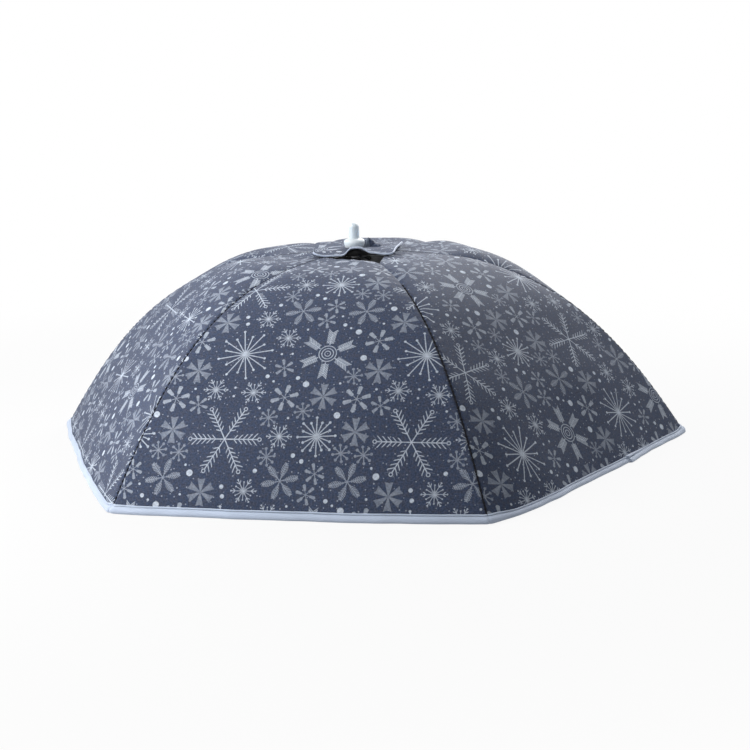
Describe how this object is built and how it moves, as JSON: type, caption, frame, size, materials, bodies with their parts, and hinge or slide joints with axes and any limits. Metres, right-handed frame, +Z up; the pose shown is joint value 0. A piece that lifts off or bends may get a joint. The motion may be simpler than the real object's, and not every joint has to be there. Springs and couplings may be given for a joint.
{
  "type": "folding food cover",
  "caption": "Six-panel folding food cover: a printed, foil-lined cloth dome on hinged wire ribs, with a runner and pull knob, that stands over dishes on a table.",
  "frame": {"origin": "on the table, at the middle of the hem, under the pull knob", "axes": "+Z up through the pull knob; +X towards the corner of the hem at rib 1; a flat side of the hem faces -Y"},
  "size_m": [0.6832, 0.5918, 0.2218],
  "materials": {
    "printed_cloth": "dark blue-grey woven polyester with a pale snowflake print",
    "foil_lining": "thin foam faced with crinkled aluminium foil",
    "pale_tape": "pale blue-grey woven binding tape, stitched",
    "white_plastic": "moulded white plastic, soft gloss",
    "black_plastic": "moulded black plastic, soft gloss",
    "frame_steel": "bright drawn wire"
  },
  "bodies": {
    "crown": {"upper_hub": "black_plastic", "hub_ring": "frame_steel", "crown_cap": "white_plastic", "top_flap": "printed_cloth", "flap_edging": "pale_tape"},
    "runner": {"runner": "black_plastic", "pull_knob": "white_plastic"},
    "rib_1": {"rib_1": "frame_steel", "rib_tip_1": "white_plastic", "rib_clip_1": "black_plastic", "clip_pin_1": "frame_steel"},
    "stretcher_1": {"stretcher_1": "frame_steel"},
    "cloth_1": {"cloth_panel_1": "printed_cloth", "hem_binding_1": "pale_tape"},
    "lining_1": {"lining_panel_1": "foil_lining"},
    "rib_2": {"rib_2": "frame_steel", "rib_tip_2": "white_plastic", "rib_clip_2": "black_plastic", "clip_pin_2": "frame_steel"},
    "stretcher_2": {"stretcher_2": "frame_steel"},
    "cloth_2": {"cloth_panel_2": "printed_cloth", "hem_binding_2": "pale_tape"},
    "lining_2": {"lining_panel_2": "foil_lining"},
    "rib_3": {"rib_3": "frame_steel", "rib_tip_3": "white_plastic", "rib_clip_3": "black_plastic", "clip_pin_3": "frame_steel"},
    "stretcher_3": {"stretcher_3": "frame_steel"},
    "cloth_3": {"cloth_panel_3": "printed_cloth", "hem_binding_3": "pale_tape"},
    "lining_3": {"lining_panel_3": "foil_lining"},
    "rib_4": {"rib_4": "frame_steel", "rib_tip_4": "white_plastic", "rib_clip_4": "black_plastic", "clip_pin_4": "frame_steel"},
    "stretcher_4": {"stretcher_4": "frame_steel"},
    "cloth_4": {"cloth_panel_4": "printed_cloth", "hem_binding_4": "pale_tape"},
    "lining_4": {"lining_panel_4": "foil_lining"},
    "rib_5": {"rib_5": "frame_steel", "rib_tip_5": "white_plastic", "rib_clip_5": "black_plastic", "clip_pin_5": "frame_steel"},
    "stretcher_5": {"stretcher_5": "frame_steel"},
    "cloth_5": {"cloth_panel_5": "printed_cloth", "hem_binding_5": "pale_tape"},
    "lining_5": {"lining_panel_5": "foil_lining"},
    "rib_6": {"rib_6": "frame_steel", "rib_tip_6": "white_plastic", "rib_clip_6": "black_plastic", "clip_pin_6": "frame_steel"},
    "stretcher_6": {"stretcher_6": "frame_steel"},
    "cloth_6": {"cloth_panel_6": "printed_cloth", "hem_binding_6": "pale_tape"},
    "lining_6": {"lining_panel_6": "foil_lining"}
  },
  "joints": [
    {"name": "rib_1_fold", "type": "hinge", "parent": "crown", "child": "rib_1", "pos_m": [0.012, 0, 0.18693], "axis": [0, 1, 0], "range_deg": [0, 58]},
    {"name": "rib_2_fold", "type": "hinge", "parent": "crown", "child": "rib_2", "pos_m": [0.006, 0.01039, 0.18693], "axis": [-0.866, 0.5, 0], "range_deg": [0, 58.2]},
    {"name": "rib_3_fold", "type": "hinge", "parent": "crown", "child": "rib_3", "pos_m": [-0.006, 0.01039, 0.18693], "axis": [-0.866, -0.5, 0], "range_deg": [0, 58.2]},
    {"name": "rib_4_fold", "type": "hinge", "parent": "crown", "child": "rib_4", "pos_m": [-0.012, 0, 0.18693], "axis": [0, -1, 0], "range_deg": [0, 58.2]},
    {"name": "rib_5_fold", "type": "hinge", "parent": "crown", "child": "rib_5", "pos_m": [-0.006, -0.01039, 0.18693], "axis": [0.866, -0.5, 0], "range_deg": [0, 58.2]},
    {"name": "rib_6_fold", "type": "hinge", "parent": "crown", "child": "rib_6", "pos_m": [0.006, -0.01039, 0.18693], "axis": [0.866, 0.5, 0], "range_deg": [0, 58.2]},
    {"name": "runner_slide", "type": "slide", "parent": "crown", "child": "runner", "axis": [0, 0, -1], "range_m": [0, 0.1201]},
    {"name": "stretcher_1_swing", "type": "hinge", "parent": "rib_1", "child": "stretcher_1", "pos_m": [0.08873, 0, 0.17261], "axis": [0, 1, 0], "range_deg": [-118.8, 0]},
    {"name": "stretcher_2_swing", "type": "hinge", "parent": "rib_2", "child": "stretcher_2", "pos_m": [0.04437, 0.07684, 0.17261], "axis": [-0.866, 0.5, 0], "range_deg": [-118.8, 0]},
    {"name": "stretcher_3_swing", "type": "hinge", "parent": "rib_3", "child": "stretcher_3", "pos_m": [-0.04437, 0.07684, 0.17261], "axis": [-0.866, -0.5, 0], "range_deg": [-118.8, 0]},
    {"name": "stretcher_4_swing", "type": "hinge", "parent": "rib_4", "child": "stretcher_4", "pos_m": [-0.08873, 0, 0.17261], "axis": [0, -1, 0], "range_deg": [-118.8, 0]},
    {"name": "stretcher_5_swing", "type": "hinge", "parent": "rib_5", "child": "stretcher_5", "pos_m": [-0.04437, -0.07684, 0.17261], "axis": [0.866, -0.5, 0], "range_deg": [-118.8, 0]},
    {"name": "stretcher_6_swing", "type": "hinge", "parent": "rib_6", "child": "stretcher_6", "pos_m": [0.04437, -0.07684, 0.17261], "axis": [0.866, 0.5, 0], "range_deg": [-118.8, 0]},
    {"name": "cloth_1_fold", "type": "hinge", "parent": "rib_1", "child": "cloth_1", "pos_m": [0.012, 0.00693, 0.18693], "axis": [-0.3395, -0.9216, -0.1882], "range_deg": [0, 36.5], "deforming": ["cloth_panel_1", "hem_binding_1"]},
    {"name": "lining_1_fold", "type": "hinge", "parent": "rib_2", "child": "lining_1", "pos_m": [0.012, 0.00693, 0.18693], "axis": [0.9679, -0.1668, 0.1882], "range_deg": [0, 36.5], "deforming": ["lining_panel_1"]},
    {"name": "cloth_2_fold", "type": "hinge", "parent": "rib_2", "child": "cloth_2", "pos_m": [0, 0.01386, 0.18693], "axis": [0.6284, -0.7548, -0.1882], "range_deg": [0, 36.5], "deforming": ["cloth_panel_2", "hem_binding_2"]},
    {"name": "lining_2_fold", "type": "hinge", "parent": "rib_3", "child": "lining_2", "pos_m": [0, 0.01386, 0.18693], "axis": [0.6284, 0.7548, 0.1882], "range_deg": [0, 36.5], "deforming": ["lining_panel_2"]},
    {"name": "cloth_3_fold", "type": "hinge", "parent": "rib_3", "child": "cloth_3", "pos_m": [-0.012, 0.00693, 0.18693], "axis": [0.9679, 0.1668, -0.1882], "range_deg": [0, 36.5], "deforming": ["cloth_panel_3", "hem_binding_3"]},
    {"name": "lining_3_fold", "type": "hinge", "parent": "rib_4", "child": "lining_3", "pos_m": [-0.012, 0.00693, 0.18693], "axis": [-0.3395, 0.9216, 0.1882], "range_deg": [0, 36.5], "deforming": ["lining_panel_3"]},
    {"name": "cloth_4_fold", "type": "hinge", "parent": "rib_4", "child": "cloth_4", "pos_m": [-0.012, -0.00693, 0.18693], "axis": [0.3395, 0.9216, -0.1882], "range_deg": [0, 36.5], "deforming": ["cloth_panel_4", "hem_binding_4"]},
    {"name": "lining_4_fold", "type": "hinge", "parent": "rib_5", "child": "lining_4", "pos_m": [-0.012, -0.00693, 0.18693], "axis": [-0.9679, 0.1668, 0.1882], "range_deg": [0, 36.5], "deforming": ["lining_panel_4"]},
    {"name": "cloth_5_fold", "type": "hinge", "parent": "rib_5", "child": "cloth_5", "pos_m": [0, -0.01386, 0.18693], "axis": [-0.6284, 0.7548, -0.1882], "range_deg": [0, 36.5], "deforming": ["cloth_panel_5", "hem_binding_5"]},
    {"name": "lining_5_fold", "type": "hinge", "parent": "rib_6", "child": "lining_5", "pos_m": [0, -0.01386, 0.18693], "axis": [-0.6284, -0.7548, 0.1882], "range_deg": [0, 36.5], "deforming": ["lining_panel_5"]},
    {"name": "cloth_6_fold", "type": "hinge", "parent": "rib_6", "child": "cloth_6", "pos_m": [0.012, -0.00693, 0.18693], "axis": [-0.9679, -0.1668, -0.1882], "range_deg": [0, 36.5], "deforming": ["cloth_panel_6", "hem_binding_6"]},
    {"name": "lining_6_fold", "type": "hinge", "parent": "rib_1", "child": "lining_6", "pos_m": [0.012, -0.00693, 0.18693], "axis": [0.3395, -0.9216, 0.1882], "range_deg": [0, 36.5], "deforming": ["lining_panel_6"]}
  ],
  "couplings": [
    {"joint": "rib_2_fold", "follows": "rib_1_fold", "ratio": 1},
    {"joint": "rib_3_fold", "follows": "rib_1_fold", "ratio": 1},
    {"joint": "rib_4_fold", "follows": "rib_1_fold", "ratio": 1},
    {"joint": "rib_5_fold", "follows": "rib_1_fold", "ratio": 1},
    {"joint": "rib_6_fold", "follows": "rib_1_fold", "ratio": 1},
    {"joint": "runner_slide", "follows": "rib_1_fold", "m_per_rad": 0.11829},
    {"joint": "stretcher_1_swing", "follows": "rib_1_fold", "ratio": -2.0434},
    {"joint": "stretcher_2_swing", "follows": "rib_1_fold", "ratio": -2.0434},
    {"joint": "stretcher_3_swing", "follows": "rib_1_fold", "ratio": -2.0434},
    {"joint": "stretcher_4_swing", "follows": "rib_1_fold", "ratio": -2.0434},
    {"joint": "stretcher_5_swing", "follows": "rib_1_fold", "ratio": -2.0434},
    {"joint": "stretcher_6_swing", "follows": "rib_1_fold", "ratio": -2.0434},
    {"joint": "cloth_1_fold", "follows": "rib_1_fold", "ratio": 0.62606},
    {"joint": "lining_1_fold", "follows": "rib_1_fold", "ratio": 0.62606},
    {"joint": "cloth_2_fold", "follows": "rib_1_fold", "ratio": 0.62606},
    {"joint": "lining_2_fold", "follows": "rib_1_fold", "ratio": 0.62606},
    {"joint": "cloth_3_fold", "follows": "rib_1_fold", "ratio": 0.62606},
    {"joint": "lining_3_fold", "follows": "rib_1_fold", "ratio": 0.62606},
    {"joint": "cloth_4_fold", "follows": "rib_1_fold", "ratio": 0.62606},
    {"joint": "lining_4_fold", "follows": "rib_1_fold", "ratio": 0.62606},
    {"joint": "cloth_5_fold", "follows": "rib_1_fold", "ratio": 0.62606},
    {"joint": "lining_5_fold", "follows": "rib_1_fold", "ratio": 0.62606},
    {"joint": "cloth_6_fold", "follows": "rib_1_fold", "ratio": 0.62606},
    {"joint": "lining_6_fold", "follows": "rib_1_fold", "ratio": 0.62606}
  ]
}
